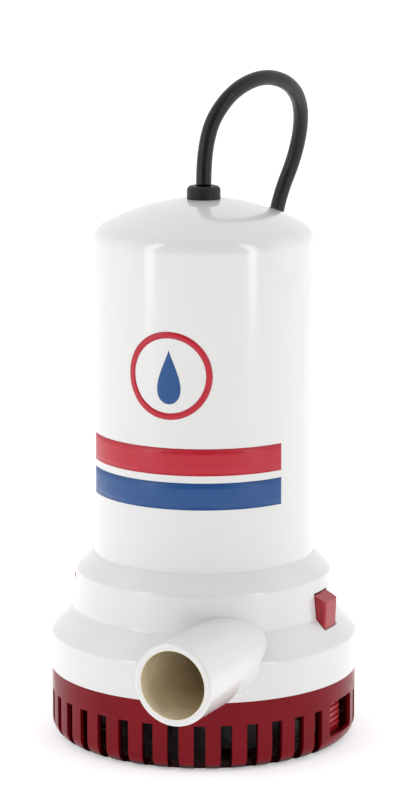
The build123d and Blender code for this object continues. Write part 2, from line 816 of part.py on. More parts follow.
def control_chip():
    """Eight-leg controller."""
    x, y = 14, -8.8
    half_length, half_width, half_leg = chip_length / 2, chip_width / 2, chip_leg_width / 2
    chip = block(x - half_length, x + half_length, y - half_width, y + half_width,
                 board_top + 0.6, board_top + 0.6 + chip_thickness)
    for n in range(4):
        leg = x + (n - 1.5) * chip_leg_pitch
        chip += block(leg - half_leg, leg + half_leg, y - half_width - 1, y + half_width + 1,
                      board_top, board_top + 1.4)
    return chip


def choke_coil():
    """Toroid that quietens the supply."""
    return Pos(0, -9, board_top + choke_section) * Torus(choke_radius, choke_section)


def supply_leads():
    """Three leads from the cord's end to the board."""
    spread = cord_radius / 2
    leads = []
    for n, (x, y, height) in enumerate(supply_lead_ends):
        dx, dy = on_circle(spread, 180 - 120 * n)
        top = (dx, dy, inner_cord_bottom)
        bend = (dx, dy, inner_cord_bottom - 2.5)
        drop = (x, y, board_top + height)
        leads.append(wire([top, bend, drop, (x, y, board_top)], lead_radius, 1.6)[0])
    return Compound(children=leads)


def motor_leads():
    """Two leads from the board down to the brush holders."""
    leads = [disc(lead_radius, holder_top, board_height, x, y) for x, y in motor_lead_places()]
    return Compound(children=leads)


# ---- cord ----
def cord_gland():
    """Rubber bushing that seals the cord in the dome."""
    wall_bottom = dome_apex - shell_wall
    crest = dome_apex + gland_rise
    collar_bottom = dome_centre + (dome_radius ** 2 - gland_radius ** 2) ** 0.5
    gland = disc(gland_radius, collar_bottom - 1, crest)
    gland = fillet(gland.edges().sort_by(Axis.Z)[-1], 1.6)
    gland -= Pos(0, 0, dome_centre) * Sphere(dome_radius)
    gland += disc(gland_neck_radius, wall_bottom - 1, dome_apex)
    gland += disc(gland_flange_radius, wall_bottom - 3.2, wall_bottom - 0.4)
    return gland - disc(cord_radius, 0, crest + 1)


def cord_inner_end():
    """The cord's jacket through the gland, down to where its leads part."""
    return disc(cord_radius, inner_cord_bottom, dome_apex + gland_rise)


def power_cord():
    """The cord from the gland to its coil."""
    return wire(cord_route, cord_radius)


def cord_coil():
    """The outer shape of the coiled spare cord behind the pump."""
    x, y = coil_centre
    ring = tube(coil_radius + coil_width / 2, coil_radius - coil_width / 2, 0, coil_height, x, y)
    return fillet(ring.edges().filter_by(GeomType.CIRCLE), 2.4)


def tail_start():
    """Where the cut end leaves the coil, on the floor, and the way it points."""
    dx, dy = on_circle(coil_radius, tail_angle)
    return coil_centre[0] + dx, coil_centre[1] + dy, tail_angle + 90


def tail_skip():
    """How far the cut end runs before it is clear of the coil's outer face."""
    return (coil_width ** 2 / 4 + coil_width * coil_radius) ** 0.5 - 1


def cord_tail():
    """The last straight of jacket, beyond the coil."""
    x, y, heading = tail_start()
    dx, dy = on_circle(tail_skip(), heading)
    ex, ey = on_circle(tail_skip() + tail_length, heading)
    return wire([(x + dx, y + dy, cord_radius), (x + ex, y + ey, cord_radius)], cord_radius)[0]


def bare_lead(order):
    """One stripped lead from the tail's end, fanned out from its neighbours."""
    x, y, heading = tail_start()
    dx, dy = on_circle(tail_skip() + tail_length, heading)
    side_x, side_y = on_circle(2.1 * bare_lead_radius * order, heading + 90)
    start = (x + dx + side_x, y + dy + side_y, cord_radius)
    turn = heading + bare_lead_spread * order
    mx, my = on_circle(0.4 * bare_lead_length, turn)
    ex, ey = on_circle(0.6 * bare_lead_length, turn + 2 * bare_lead_spread * order)
    middle = (start[0] + mx, start[1] + my, bare_lead_radius + 0.9)
    end = (middle[0] + ex, middle[1] + ey, bare_lead_radius)
    return wire([start, middle, end], bare_lead_radius)[0]


save("motor_housing", motor_housing())
save("volute_body", volute_body())
save("housing_oring", housing_oring())
save("strainer_base", strainer_base())
save("latch_arm_right", latch_arm(1))
save("latch_arm_left", latch_arm(-1))
save("intake_plate", intake_plate())
save("intake_screws", intake_screws())
save("impeller", impeller())
save("impeller_screw", impeller_screw())
save("shaft_seal", shaft_seal())
save("motor_shaft", motor_shaft())
save("motor_can", motor_can())
save("motor_screws", pan_screws(motor_screw_places(), 2.8, 1.5, chamber_roof,
                                bulkhead_top - chamber_roof + can_wall))
save("lower_bearing", bearing(lower_bearing_bottom))
save("upper_bearing", bearing(upper_bearing_bottom))
save("magnet_right", magnet(0))
save("magnet_left", magnet(180))
save("armature_core", armature_core())
save("armature_windings", armature_windings())
save("commutator", commutator())
save("end_bell", end_bell())
save("brush_card", brush_card())
for place, turn in (("front", 0), ("rear", 180)):
    save(f"brush_holder_{place}", Rot(0, 0, turn) * brush_holder())
    save(f"brush_{place}", Rot(0, 0, turn) * brush())
    save(f"brush_spring_{place}", Rot(0, 0, turn) * brush_spring())
save("motor_cushion", motor_cushion())
save("control_board", control_board())
save("board_standoffs", board_standoffs())
save("board_screws", board_screws())
save("power_relay", power_relay())
save("filter_capacitor", filter_capacitor())
save("control_chip", control_chip())
save("choke_coil", choke_coil())
save("supply_leads", supply_leads())
save("motor_leads", motor_leads())
save("cord_gland", cord_gland())
save("cord_inner_end", cord_inner_end())
cord, cord_path = power_cord()
save("power_cord", cord)
save("cord_coil", cord_coil())
save("cord_tail", cord_tail())
for name, order in (("lead_brown", -1), ("lead_striped", 0), ("lead_black", 1)):
    save(name, bare_lead(order))

expected = pi * cord_radius ** 2 * cord_path.length
print("cord radii", [round(r, 1) for r in corner_radii(cord_route)])
print("cord length", round(cord_path.length, 1))
print("cord volume", round(cord.volume), "of", round(expected))
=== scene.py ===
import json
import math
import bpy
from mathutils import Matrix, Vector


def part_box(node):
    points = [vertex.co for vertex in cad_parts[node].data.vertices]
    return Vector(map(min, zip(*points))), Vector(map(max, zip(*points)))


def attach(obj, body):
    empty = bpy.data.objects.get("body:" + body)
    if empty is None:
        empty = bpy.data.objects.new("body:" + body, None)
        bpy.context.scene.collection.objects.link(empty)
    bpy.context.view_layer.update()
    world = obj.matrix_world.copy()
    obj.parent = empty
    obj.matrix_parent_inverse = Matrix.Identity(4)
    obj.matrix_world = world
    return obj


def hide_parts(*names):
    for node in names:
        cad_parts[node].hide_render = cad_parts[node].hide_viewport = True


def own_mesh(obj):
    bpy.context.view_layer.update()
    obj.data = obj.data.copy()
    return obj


bl_info = {
    "name": "Bilge Pump Finisher",
    "version": (1, 0, 0),
    "blender": (4, 5, 0),
    "location": "View3D > Sidebar > Bilge Pump",
    "description": "Dresses a bilge pump: cord, printed bands, finishes of every piece, stage and camera",
    "category": "Object",
}

import bpy
from mathutils import Vector

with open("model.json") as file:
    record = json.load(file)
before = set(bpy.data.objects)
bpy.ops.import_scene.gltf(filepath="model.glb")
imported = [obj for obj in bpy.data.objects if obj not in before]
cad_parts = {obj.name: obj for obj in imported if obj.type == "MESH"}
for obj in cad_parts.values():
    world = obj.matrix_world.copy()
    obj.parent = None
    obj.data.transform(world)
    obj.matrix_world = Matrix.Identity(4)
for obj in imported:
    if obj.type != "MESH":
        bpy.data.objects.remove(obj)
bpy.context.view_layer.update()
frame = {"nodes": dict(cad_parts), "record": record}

MM = 0.001
BASE_BODY = "pump"
VIEW_AZIMUTH = math.radians(26.0)
BARREL_FOOT = 67.9 * MM
BARREL_DRAFT = 0.55 / 114.1

# The cord's route from the gland, over its loop and down behind the pump, as the solid has it.
CORD_ROUTE_MM = [
    (0, 0, 199.7),
    (-2, 4, 216),
    (3, 13, 231),
    (9, 29, 237),
    (13, 46, 233),
    (11, 61, 222),
    (6, 67, 205),
    (0, 63, 187),
    (-4, 65, 165),
    (-6, 68, 140),
    (-9, 67, 114),
    (-11, 69, 88),
    (-10, 67, 64),
    (-12, 71, 43),
    (-12, 80, 25),
    (-13, 95, 16),
    (-19, 110, 13.35),
]


# ---------------------------------------------------------------- settings
class PumpSizes(bpy.types.PropertyGroup):
    """Sizes that a user would change."""

    cord_diameter: bpy.props.FloatProperty(
        name="Cord diameter", description="Outer diameter of the jacket",
        default=5.5 * MM, min=2 * MM, max=12 * MM, unit="LENGTH")
    cord_length: bpy.props.FloatProperty(
        name="Cord length", description="Jacket from the gland to its cut end",
        default=0.914, min=0.3, max=3.0, unit="LENGTH")
    coil_radius: bpy.props.FloatProperty(
        name="Coil radius", description="Middle of the stored turns",
        default=30 * MM, min=15 * MM, max=90 * MM, unit="LENGTH")
    coil_turns: bpy.props.IntProperty(
        name="Coil turns", description="Whole turns in the stored coil", default=3, min=1, max=8)
    band_height: bpy.props.FloatProperty(
        name="Band height", description="Height of each printed band",
        default=9.6 * MM, min=2 * MM, max=20 * MM, unit="LENGTH")
    band_gap: bpy.props.FloatProperty(
        name="Band gap", description="White space between the two bands",
        default=2.6 * MM, min=0.5 * MM, max=10 * MM, unit="LENGTH")
    band_middle: bpy.props.FloatProperty(
        name="Band height on barrel", description="Middle of the pair of bands above the base",
        default=101.5 * MM, min=70 * MM, max=180 * MM, unit="LENGTH")


class PumpColours(bpy.types.PropertyGroup):
    """Colours of the mouldings and the print."""

    shell: bpy.props.FloatVectorProperty(
        name="Housing", description="White moulding", subtype="COLOR",
        size=3, min=0, max=1, default=(0.755, 0.755, 0.745))
    strainer: bpy.props.FloatVectorProperty(
        name="Strainer", description="Red moulding", subtype="COLOR",
        size=3, min=0, max=1, default=(0.215, 0.004, 0.010))
    # The latches are the strainer's red moulding; their lighter red is a painted highlight.
    latch: bpy.props.FloatVectorProperty(
        name="Latches", description="Brighter red moulding", subtype="COLOR",
        size=3, min=0, max=1, default=(0.42, 0.010, 0.020))
    print_red: bpy.props.FloatVectorProperty(
        name="Upper band", description="Red ink", subtype="COLOR",
        size=3, min=0, max=1, default=(0.52, 0.003, 0.022))
    print_blue: bpy.props.FloatVectorProperty(
        name="Lower band", description="Blue ink", subtype="COLOR",
        size=3, min=0, max=1, default=(0.003, 0.070, 0.26))
    jacket: bpy.props.FloatVectorProperty(
        name="Cord", description="Black jacket", subtype="COLOR",
        size=3, min=0, max=1, default=(0.0045, 0.0045, 0.005))


# ---------------------------------------------------------------- node helpers
def add_node(tree, kind, **inputs):
    """A shader node with its unlinked inputs set by name."""
    made = tree.nodes.new(kind)
    for name, value in inputs.items():
        made.inputs[name.replace("_", " ")].default_value = value
    return made


def link(tree, source, target):
    tree.links.new(source, target)


def new_material(name):
    """A material with a Principled shader, and the Object coordinates it is drawn on."""
    material = bpy.data.materials.new(name)
    material.use_nodes = True
    tree = material.node_tree
    tree.nodes.clear()
    output = tree.nodes.new("ShaderNodeOutputMaterial")
    shader = tree.nodes.new("ShaderNodeBsdfPrincipled")
    place = tree.nodes.new("ShaderNodeTexCoord")
    link(tree, shader.outputs["BSDF"], output.inputs["Surface"])
    return material, tree, shader, place.outputs["Object"]


def noise(tree, place, scale, detail=4.0, stretch=None):
    """Noise in metres-based coordinates, stretched along an axis where a grain runs."""
    if stretch:
        mapping = tree.nodes.new("ShaderNodeMapping")
        mapping.inputs["Scale"].default_value = stretch
        link(tree, place, mapping.inputs["Vector"])
        place = mapping.outputs["Vector"]
    made = add_node(tree, "ShaderNodeTexNoise", Scale=scale, Detail=detail, Roughness=0.55)
    link(tree, place, made.inputs["Vector"])
    return made.outputs["Fac"]


def remap(tree, value, low, high, out_low, out_high):
    made = tree.nodes.new("ShaderNodeMapRange")
    for name, number in (("From Min", low), ("From Max", high), ("To Min", out_low), ("To Max", out_high)):
        made.inputs[name].default_value = number
    link(tree, value, made.inputs["Value"])
    return made.outputs["Result"]


def mix_colour(tree, factor, first, second):
    """A colour that goes from first to second with the factor. Either may be a socket."""
    made = tree.nodes.new("ShaderNodeMix")
    made.data_type = "RGBA"
    link(tree, factor, made.inputs["Factor"])
    for name, colour in (("A", first), ("B", second)):
        socket = [s for s in made.inputs if s.name == name and s.type == "RGBA"][0]
        if isinstance(colour, bpy.types.NodeSocket):
            link(tree, colour, socket)
        else:
            socket.default_value = (*colour, 1.0)
    return [s for s in made.outputs if s.type == "RGBA"][0]


def maths(tree, operation, first, second=0.0):
    made = tree.nodes.new("ShaderNodeMath")
    made.operation = operation
    for index, value in enumerate((first, second)):
        if isinstance(value, bpy.types.NodeSocket):
            link(tree, value, made.inputs[index])
        else:
            made.inputs[index].default_value = value
    return made.outputs["Value"]


def darker(colour, share):
    return tuple(channel * share for channel in colour)


def bump(tree, shader, height, depth, strength=1.0):
    made = add_node(tree, "ShaderNodeBump", Strength=strength, Distance=depth)
    link(tree, height, made.inputs["Height"])
    link(tree, made.outputs["Normal"], shader.inputs["Normal"])


def radius_about(tree, place, axis, centre):
    """Distance from a line along an axis ('X', 'Y' or 'Z') through a centre."""
    split = tree.nodes.new("ShaderNodeSeparateXYZ")
    link(tree, place, split.inputs["Vector"])
    total = None
    for name, middle in zip("XYZ", centre):
        if name == axis:
            continue
        offset = maths(tree, "SUBTRACT", split.outputs[name], middle)
        square = maths(tree, "MULTIPLY", offset, offset)
        total = square if total is None else maths(tree, "ADD", total, square)
    return maths(tree, "SQRT", total), split


def moulded(name, colour, rough, grain=900.0, depth=0.03 * MM, wear=0.9, coat=0.0):
    """Moulded plastic: faint mottling, uneven gloss and a fine orange-peel skin."""
    material, tree, shader, place = new_material(name)
    cloud = remap(tree, noise(tree, place, 28.0), 0.3, 0.75, 0.0, 1.0)
    link(tree, mix_colour(tree, cloud, darker(colour, wear), colour), shader.inputs["Base Color"])
    gloss = remap(tree, noise(tree, place, 90.0, 6.0), 0.3, 0.7, rough * 0.8, rough * 1.3)
    link(tree, gloss, shader.inputs["Roughness"])
    bump(tree, shader, noise(tree, place, grain, 2.0), depth, 0.35)
    shader.inputs["IOR"].default_value = 1.5
    shader.inputs["Coat Weight"].default_value = coat
    shader.inputs["Coat Roughness"].default_value = 0.08
    return material


def metal(name, colour, rough, stretch=(1.0, 1.0, 12.0), grain=260.0, depth=0.02 * MM):
    """Metal with a drawn or turned grain, tarnished in patches."""
    material, tree, shader, place = new_material(name)
    shader.inputs["Metallic"].default_value = 1.0
    patch = remap(tree, noise(tree, place, 120.0), 0.35, 0.7, 0.0, 1.0)
    link(tree, mix_colour(tree, patch, darker(colour, 0.72), colour), shader.inputs["Base Color"])
    streak = noise(tree, place, grain, 3.0, stretch)
    link(tree, remap(tree, streak, 0.3, 0.7, rough * 0.7, rough * 1.4), shader.inputs["Roughness"])
    bump(tree, shader, streak, depth, 0.5)
    return material


def rubber(name, colour, rough=0.5, grain=1400.0):
    """Matt rubber or soft vinyl with a dry, slightly dusty skin."""
    material, tree, shader, place = new_material(name)
    dust = remap(tree, noise(tree, place, 60.0, 8.0), 0.45, 0.8, 0.0, 0.35)
    dusty = tuple(channel + 0.008 for channel in colour)
    shader.inputs["Specular IOR Level"].default_value = 0.35
    link(tree, mix_colour(tree, dust, colour, dusty), shader.inputs["Base Color"])
    gloss = remap(tree, noise(tree, place, 150.0), 0.3, 0.7, rough * 0.8, rough * 1.2)
    link(tree, gloss, shader.inputs["Roughness"])
    bump(tree, shader, noise(tree, place, grain, 2.0), 0.04 * MM, 0.4)
    return material


def paint_node(node, material):
    """Gives one CAD node a finish."""
    mesh = frame["nodes"][node].data
    mesh.materials.clear()
    mesh.materials.append(material)


# ---------------------------------------------------------------- mesh helpers
def deselect():
    if bpy.context.object and bpy.context.object.mode != "OBJECT":
        bpy.ops.object.mode_set(mode="OBJECT")
    bpy.ops.object.select_all(action="DESELECT")


def pick(piece):
    """Makes one piece the only selected one, and the active one."""
    deselect()
    bpy.context.view_layer.objects.active = piece
    piece.select_set(True)


def settle(piece, name, material, body=BASE_BODY):
    """Names a finished piece, applies its place, gives it a finish and joins it to a body."""
    pick(piece)
    bpy.ops.object.transform_apply(location=True, rotation=True, scale=True)
    piece.name = name
    piece.data.name = name
    piece.data.materials.clear()
    piece.data.materials.append(material)
    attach(piece, body)
    return piece


def merge_doubles(outwards=False):
    """Joins the active piece's loose corners, and turns its faces outwards if asked."""
    bpy.ops.object.mode_set(mode="EDIT")
    bpy.ops.mesh.select_all(action="SELECT")
    bpy.ops.mesh.remove_doubles(threshold=0.001 * MM)
    if outwards:
        bpy.ops.mesh.normals_make_consistent(inside=False)
    bpy.ops.object.mode_set(mode="OBJECT")


def apply_modifiers(piece):
    pick(piece)
    for modifier in list(piece.modifiers):
        bpy.ops.object.modifier_apply(modifier=modifier.name)


def on_circle(radius, angle):
    return radius * math.cos(angle), radius * math.sin(angle)


# ---------------------------------------------------------------- cord
def smooth_step(share):
    share = min(max(share, 0.0), 1.0)
    return share * share * (3 - 2 * share)


def coil_points(sizes, start, finish_angle, centre):
    """The stored turns: the first lies on top of two that lie side by side on the floor."""
    per_turn = 16
    half = sizes.cord_diameter / 2
    top = half + sizes.cord_diameter * 0.87
    lanes = [(sizes.coil_radius, top), (sizes.coil_radius - half, half),
             (sizes.coil_radius + half, half)]
    offset = start - centre
    angle = math.atan2(offset.y, offset.x)
    sweep = 2 * math.pi * sizes.coil_turns + (finish_angle - angle)
    steps = round(sweep / (2 * math.pi) * per_turn)
    shrink = math.cos(math.pi / per_turn)
    points = []
    for step in range(1, steps + 1):
        turned = sweep * step / steps
        lane = min(int(turned / (2 * math.pi)), len(lanes) - 1)
        ease = smooth_step((turned / (2 * math.pi) - lane) / 0.22)
        before = lanes[lane - 1] if lane else (offset.to_2d().length, start.z)
        radius = before[0] + (lanes[lane][0] - before[0]) * ease
        height = before[1] + (lanes[lane][1] - before[1]) * ease
        x, y = on_circle(radius / shrink, angle + turned)
        points.append(Vector((centre.x + x, centre.y + y, height)))
    return points


class BILGEPUMP_OT_cord(bpy.types.Operator):
    """Lay the cord from the gland, over its loop, down to a stored coil and its cut end."""

    bl_idname = "bilge_pump.cord"
    bl_label = "Cord"

    def execute(self, context):
        sizes = context.scene.pump_sizes
        route = [Vector(p) * MM for p in CORD_ROUTE_MM]
        low, high = (Vector(v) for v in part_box("cord_coil"))
        centre = (low + high) / 2
        tail_low, tail_high = (Vector(v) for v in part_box("cord_tail"))
        half = sizes.cord_diameter / 2
        tail_start = Vector((tail_high.x - half, tail_low.y + half, half))
        tail_end = Vector((tail_low.x + half * 0.9, tail_high.y - half * 0.45, half))
        heading = (tail_end - tail_start).normalized()
        leave = math.atan2(heading.y, heading.x) - math.pi / 2
        points = route + coil_points(sizes, route[-1], leave, centre)
        points += [tail_start.lerp(tail_end, share) for share in (0.0, 0.5, 1.0)]
        curve = bpy.data.curves.new("cord_run", "CURVE")
        curve.dimensions = "3D"
        spline = curve.splines.new("NURBS")
        spline.points.add(len(points) - 1)
        for point, place in zip(spline.points, points):
            point.co = (*place, 1.0)
        spline.order_u = 3
        spline.use_endpoint_u = True
        spline.resolution_u = 8
        curve.bevel_depth = half
        curve.bevel_resolution = 6
        curve.use_fill_caps = True
        cord = bpy.data.objects.new("cord_run", curve)
        context.scene.collection.objects.link(cord)
        curve.materials.append(rubber("cord_jacket", context.scene.pump_colours.jacket, 0.36))
        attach(cord, BASE_BODY)
        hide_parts("power_cord", "cord_coil", "cord_tail")
        tie = coil_tie(centre, sizes)
        strands = [lead_strands(node) for node in ("lead_brown", "lead_striped", "lead_black")]
        return {"FINISHED"}


def coil_tie(centre, sizes):
    """A nylon tie round the stored turns, with its ratchet head on top."""
    angle = math.radians(205)
    x, y = on_circle(sizes.coil_radius, angle)
    band_wide, band_tall = 6.4 * MM, 5.6 * MM
    deselect()
    bpy.ops.mesh.primitive_cylinder_add(vertices=40, radius=1.0, depth=2.6 * MM,
                                        end_fill_type="NOTHING")
    band = bpy.context.object
    band.scale = (band_wide, band_tall, 1.0)
    bpy.ops.object.transform_apply(location=False, rotation=False, scale=True)
    band.rotation_euler = (math.radians(90), 0, angle)
    band.location = (centre.x + x, centre.y + y, band_tall)
    thick = band.modifiers.new("wall", "SOLIDIFY")
    thick.thickness = 0.9 * MM
    thick.offset = -1
    soft = band.modifiers.new("edges", "BEVEL")
    soft.width = 0.2 * MM
    soft.segments = 2
    apply_modifiers(band)
    bpy.ops.object.transform_apply(location=True, rotation=True, scale=True)
    deselect()
    bpy.ops.mesh.primitive_cube_add(size=1.0)
    head = bpy.context.object
    head.scale = (4.2 * MM, 3.6 * MM, 2.6 * MM)
    bpy.ops.object.transform_apply(location=False, rotation=False, scale=True)
    bpy.ops.object.mode_set(mode="EDIT")
    bpy.ops.mesh.bevel(offset=0.5 * MM, segments=3)
    bpy.ops.object.mode_set(mode="OBJECT")
    head.rotation_euler = (0, 0, angle)
    head.location = (centre.x + x, centre.y + y, 2 * band_tall - 0.6 * MM)
    deselect()
    head.select_set(True)
    band.select_set(True)
    bpy.context.view_layer.objects.active = band
    bpy.ops.object.join()
    return settle(band, "coil_tie", moulded("tie_nylon", (0.02, 0.02, 0.021), 0.4))


def lead_strands(node):
    """The tinned strands that stand out of one stripped lead."""
    mesh = frame["nodes"][node].data
    tail_low, tail_high = (Vector(v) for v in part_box("cord_tail"))
    origin = (tail_low + tail_high) / 2
    corners = sorted((v.co.copy() for v in mesh.vertices), key=lambda co: (co - origin).length)
    far = corners[-1]
    rim = [co for co in corners if (co - far).length < 1.8 * MM]
    tip = sum(rim, Vector()) / len(rim)
    behind = [co for co in corners if 6 * MM < (co - tip).length < 30 * MM]
    heading = (tip - sum(behind, Vector()) / len(behind)).normalized()
    heading.z = 0
    heading.normalize()
    side = heading.cross(Vector((0, 0, 1)))
    curve = bpy.data.curves.new(f"{node}_strands", "CURVE")
    curve.dimensions = "3D"
    curve.bevel_depth = 0.16 * MM
    curve.bevel_resolution = 2
    curve.use_fill_caps = True
    for strand in range(7):
        ring = 0.0 if strand == 6 else 0.34 * MM
        spline = curve.splines.new("POLY")
        spline.points.add(9)
        for index, point in enumerate(spline.points):
            twist = math.radians(60 * strand + 26 * index)
            along = tip + heading * (index * 0.75 - 1.2) * MM
            place = along + side * (ring * math.cos(twist)) + Vector((0, 0, ring * math.sin(twist)))
            point.co = (*place, 1.0)
    piece = bpy.data.objects.new(f"{node}_strands", curve)
    bpy.context.scene.collection.objects.link(piece)
    curve.materials.append(metal("tinned_copper", (0.75, 0.73, 0.70), 0.3))
    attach(piece, BASE_BODY)
    return piece


# ---------------------------------------------------------------- printed bands
def barrel_radius(height):
    """The drafted barrel's outer radius at a height, from the housing's own mesh box."""
    foot_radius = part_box("motor_housing")[1][0]
    return foot_radius - BARREL_DRAFT * (height - BARREL_FOOT)


def print_patch(name, columns, rows, place, material, skin=0.06 * MM):
    """A thin ink layer: a grid bent to the barrel by place(u, v), then given a thickness."""
    deselect()
    bpy.ops.mesh.primitive_grid_add(x_subdivisions=columns, y_subdivisions=rows, size=2.0)
    patch = bpy.context.object
    for vertex in patch.data.vertices:
        u, v = (vertex.co.x + 1) / 2, (vertex.co.y + 1) / 2
        vertex.co = place(u, v)
    patch.data.update()
    merge_doubles(outwards=True)
    wall = patch.modifiers.new("ink", "SOLIDIFY")
    wall.thickness = skin
    wall.offset = 0
    apply_modifiers(patch)
    bpy.ops.object.shade_smooth()
    return settle(patch, name, material)


def barrel_point(azimuth, height, lift=0.03 * MM):
    """A point on the barrel. Azimuth 0 faces the spigot (-Y) and grows towards +X."""
    radius = barrel_radius(height) + lift
    return Vector((radius * math.sin(azimuth), -radius * math.cos(azimuth), height))


def ink(name, colour):
    """Screen-printed ink: slightly duller than the moulding, thin in places."""
    material, tree, shader, place = new_material(name)
    thin = remap(tree, noise(tree, place, 420.0, 6.0), 0.25, 0.8, 0.0, 1.0)
    link(tree, mix_colour(tree, thin, darker(colour, 0.86), colour), shader.inputs["Base Color"])
    link(tree, remap(tree, noise(tree, place, 200.0), 0.3, 0.7, 0.26, 0.42), shader.inputs["Roughness"])
    bump(tree, shader, noise(tree, place, 1500.0, 2.0), 0.02 * MM, 0.3)
    return material


class BILGEPUMP_OT_bands(bpy.types.Operator):
    """Print the plain red and blue bands on the front of the barrel."""

    bl_idname = "bilge_pump.bands"
    bl_label = "Printed bands"

    def execute(self, context):
        sizes = context.scene.pump_sizes
        colours = context.scene.pump_colours
        first, last = math.radians(-50), math.radians(69.5)
        for name, side, colour in (("band_red", 1, colours.print_red),
                                   ("band_blue", -1, colours.print_blue)):
            middle = sizes.band_middle + side * (sizes.band_height + sizes.band_gap) / 2

            def place(u, v, middle=middle, side=side):
                height = middle + (v - 0.5) * sizes.band_height
                return barrel_point(first + (last - first) * u, height)

            print_patch(name, 120, 4, place, ink(f"ink_{name}", colour))
        return {"FINISHED"}


class BILGEPUMP_OT_badge(bpy.types.Operator):
    """Print a plain water-drop sign inside a ring, above the bands."""

    bl_idname = "bilge_pump.badge"
    bl_label = "Water-drop sign"

    def execute(self, context):
        colours = context.scene.pump_colours
        centre_azimuth, centre_height = math.radians(8), 138 * MM
        ring_outer, ring_inner = 15.5 * MM, 13.2 * MM

        def on_barrel(x, z):
            return barrel_point(centre_azimuth + x / barrel_radius(centre_height), centre_height + z)

        def ring(u, v):
            radius = ring_inner + (ring_outer - ring_inner) * v
            return on_barrel(*on_circle(radius, 2 * math.pi * u))

        def drop(u, v):
            turn = 2 * math.pi * u
            wide = 6.2 * MM * math.sin(turn) * (math.sin(turn / 2) ** 1.6)
            tall = 9.6 * MM * math.cos(turn)
            return on_barrel(wide * v, tall * v - 0.4 * MM)

        print_patch("sign_ring", 96, 2, ring, ink("ink_ring", colours.print_red))
        print_patch("sign_drop", 72, 8, drop, ink("ink_drop", colours.print_blue))
        return {"FINISHED"}


# ---------------------------------------------------------------- finishes
def housing_white(colour):
    """Glossy white moulding, with painted shade: a tan tint in the bore of the discharge spigot."""
    material, tree, shader, place = new_material("housing_white")
    cloud = remap(tree, noise(tree, place, 22.0), 0.3, 0.75, 0.0, 1.0)
    base = mix_colour(tree, cloud, darker(colour, 0.975), colour)
    mount = [m for m in frame["record"]["mounts"] if m["name"] == "discharge_spigot"][0]
    axis = mount["pos_m"]
    distance, split = radius_about(tree, place, "Y", axis)
    # Painted shade: the spigot's bore is tinted a mottled tan, darker than the white, for the shade inside
    # it.
    bore_shade_radius, soft_edge = 12.35 * MM, 0.15 * MM
    bore_shade_start, bore_shade_end = -30 * MM, -28 * MM
    inside = remap(tree, distance, bore_shade_radius - soft_edge, bore_shade_radius, 1.0, 0.0)
    forward = remap(tree, split.outputs["Y"], bore_shade_start, bore_shade_end, 1.0, 0.0)
    bore_shade_mask = maths(tree, "MULTIPLY", inside, forward)
    bore_shade_mottle = remap(tree, noise(tree, place, 70.0, 6.0), 0.3, 0.7, 0.0, 1.0)
    bore_shade_colour = mix_colour(tree, bore_shade_mottle, (0.72, 0.60, 0.41), (0.90, 0.81, 0.62))
    link(tree, mix_colour(tree, bore_shade_mask, base, bore_shade_colour), shader.inputs["Base Color"])
    gloss = remap(tree, noise(tree, place, 70.0, 6.0), 0.3, 0.7, 0.14, 0.24)
    link(tree, gloss, shader.inputs["Roughness"])
    bump(tree, shader, noise(tree, place, 500.0, 2.0), 0.02 * MM, 0.25)
    shader.inputs["Coat Weight"].default_value = 0.6
    shader.inputs["Coat Roughness"].default_value = 0.09
    shader.inputs["Subsurface Weight"].default_value = 0.05
    shader.inputs["Subsurface Radius"].default_value = (0.004, 0.004, 0.003)
    return material


def strainer_red(colour):
    """Glossy crimson moulding, dull and dark inside the basket, the dark being painted shade."""
    material, tree, shader, place = new_material("strainer_red")
    streaks = remap(tree, noise(tree, place, 60.0, 5.0, (1.0, 1.0, 0.25)), 0.3, 0.75, 0.0, 1.0)
    base = mix_colour(tree, streaks, darker(colour, 0.8), colour)
    distance, split = radius_about(tree, place, "Z", (0, 0, 0))
    # Painted shade: inside the basket and below its rim the red is darkened to 12 percent.
    inner_face, outer_skin = 53.4 * MM, 54.2 * MM
    below_rim, rim = 24.5 * MM, 25.5 * MM
    inside = remap(tree, distance, inner_face, outer_skin, 1.0, 0.0)
    low = remap(tree, split.outputs["Z"], below_rim, rim, 1.0, 0.0)
    dark = maths(tree, "MULTIPLY", inside, low)
    link(tree, mix_colour(tree, dark, base, darker(colour, 0.12)), shader.inputs["Base Color"])
    gloss = remap(tree, noise(tree, place, 110.0, 6.0), 0.3, 0.7, 0.2, 0.34)
    link(tree, gloss, shader.inputs["Roughness"])
    bump(tree, shader, noise(tree, place, 700.0, 2.0), 0.03 * MM, 0.3)
    shader.inputs["Specular IOR Level"].default_value = 0.12
    return material


class BILGEPUMP_OT_mouldings(bpy.types.Operator):
    """Finish the white and red mouldings."""

    bl_idname = "bilge_pump.mouldings"
    bl_label = "Mouldings"

    def execute(self, context):
        colours = context.scene.pump_colours
        white = housing_white(tuple(colours.shell))
        for node in ("motor_housing", "volute_body"):
            paint_node(node, white)
        paint_node("intake_plate", moulded("plate_white", darker(colours.shell, 0.8), 0.4))
        paint_node("strainer_base", strainer_red(tuple(colours.strainer)))
        # Painted highlight: the latch red is lighter than the strainer's, for the light on the tabs.
        tab = moulded("latch_red_painted_highlight", tuple(colours.latch), 0.3, wear=0.85, coat=0.0)
        for node in ("latch_arm_right", "latch_arm_left"):
            paint_node(node, tab)
        return {"FINISHED"}


class BILGEPUMP_OT_pump_end(bpy.types.Operator):
    """Finish the impeller, its screws and the seals."""

    bl_idname = "bilge_pump.pump_end"
    bl_label = "Pump end"

    def execute(self, context):
        paint_node("impeller", moulded("impeller_black", (0.03, 0.03, 0.032), 0.42))
        screw = metal("stainless", (0.62, 0.61, 0.59), 0.28, (1, 1, 1))
        for node in ("impeller_screw", "intake_screws", "motor_screws", "board_screws"):
            paint_node(node, screw)
        seal = rubber("seal_rubber", (0.016, 0.016, 0.017), 0.55)
        for node in ("shaft_seal", "housing_oring", "motor_cushion"):
            paint_node(node, seal)
        return {"FINISHED"}


